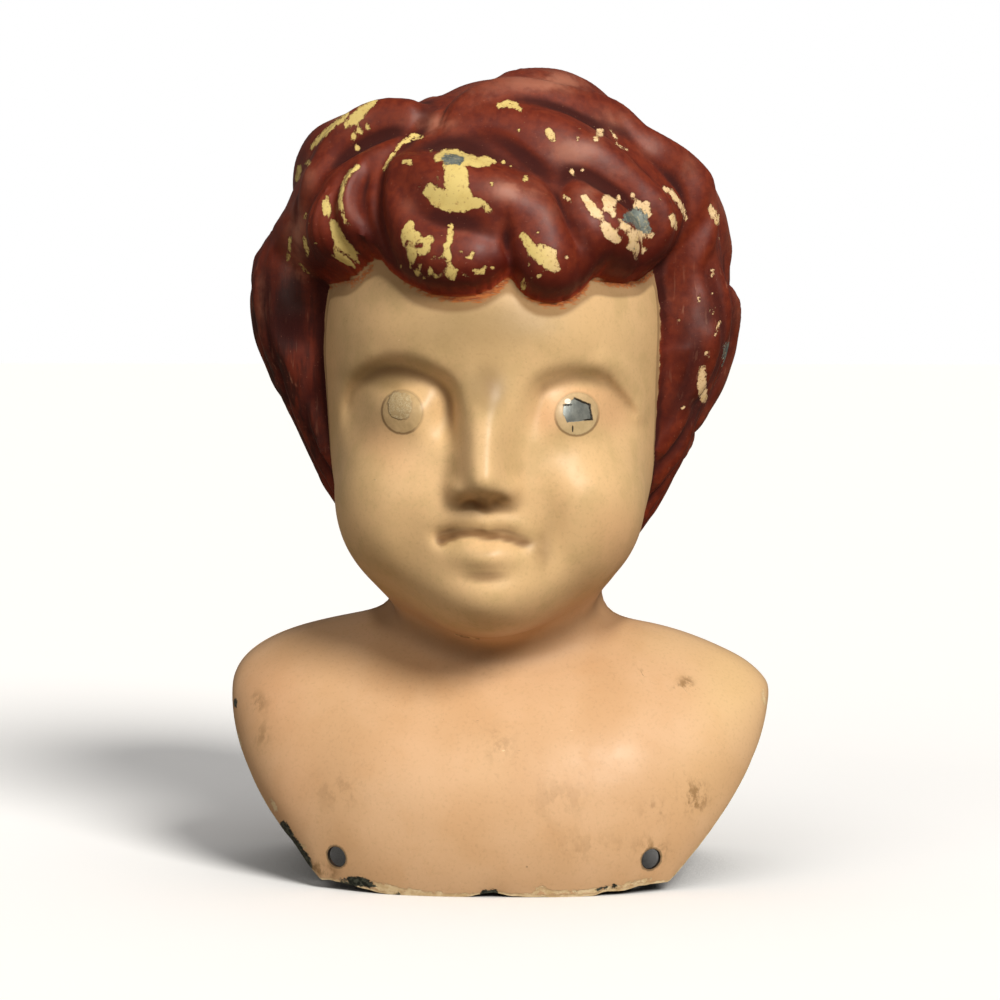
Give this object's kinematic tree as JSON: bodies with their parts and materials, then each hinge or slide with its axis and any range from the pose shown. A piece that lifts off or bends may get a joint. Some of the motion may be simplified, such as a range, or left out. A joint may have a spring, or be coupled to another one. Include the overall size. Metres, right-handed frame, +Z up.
{
  "type": "tin doll shoulder head",
  "caption": "Hollow pressed-tin doll shoulder head with moulded wavy hair, blank eyes, worn paint and sew holes along its lower edge.",
  "frame": {"origin": "middle of the lower edge, on the surface that the head stands on", "axes": "+Z up through the crown, -Y the way the face looks, +X to the viewer's right"},
  "size_m": [0.0914, 0.0864, 0.1361],
  "materials": {
    "flesh_paint": "old oil paint on pressed tin: satin flesh colour, peach on the chest and beige on the face, rubbed to a soft gloss on the high places, smudged, scratched and chipped to dark metal along the lower edge",
    "hair_paint": "glossy red-brown paint on pressed tin, darker in the creases, chipped on the crests to a yellow undercoat and in places to blue-grey metal"
  },
  "bodies": {
    "root": {"front_shell": "flesh_paint", "back_shell": "hair_paint"}
  },
  "joints": []
}
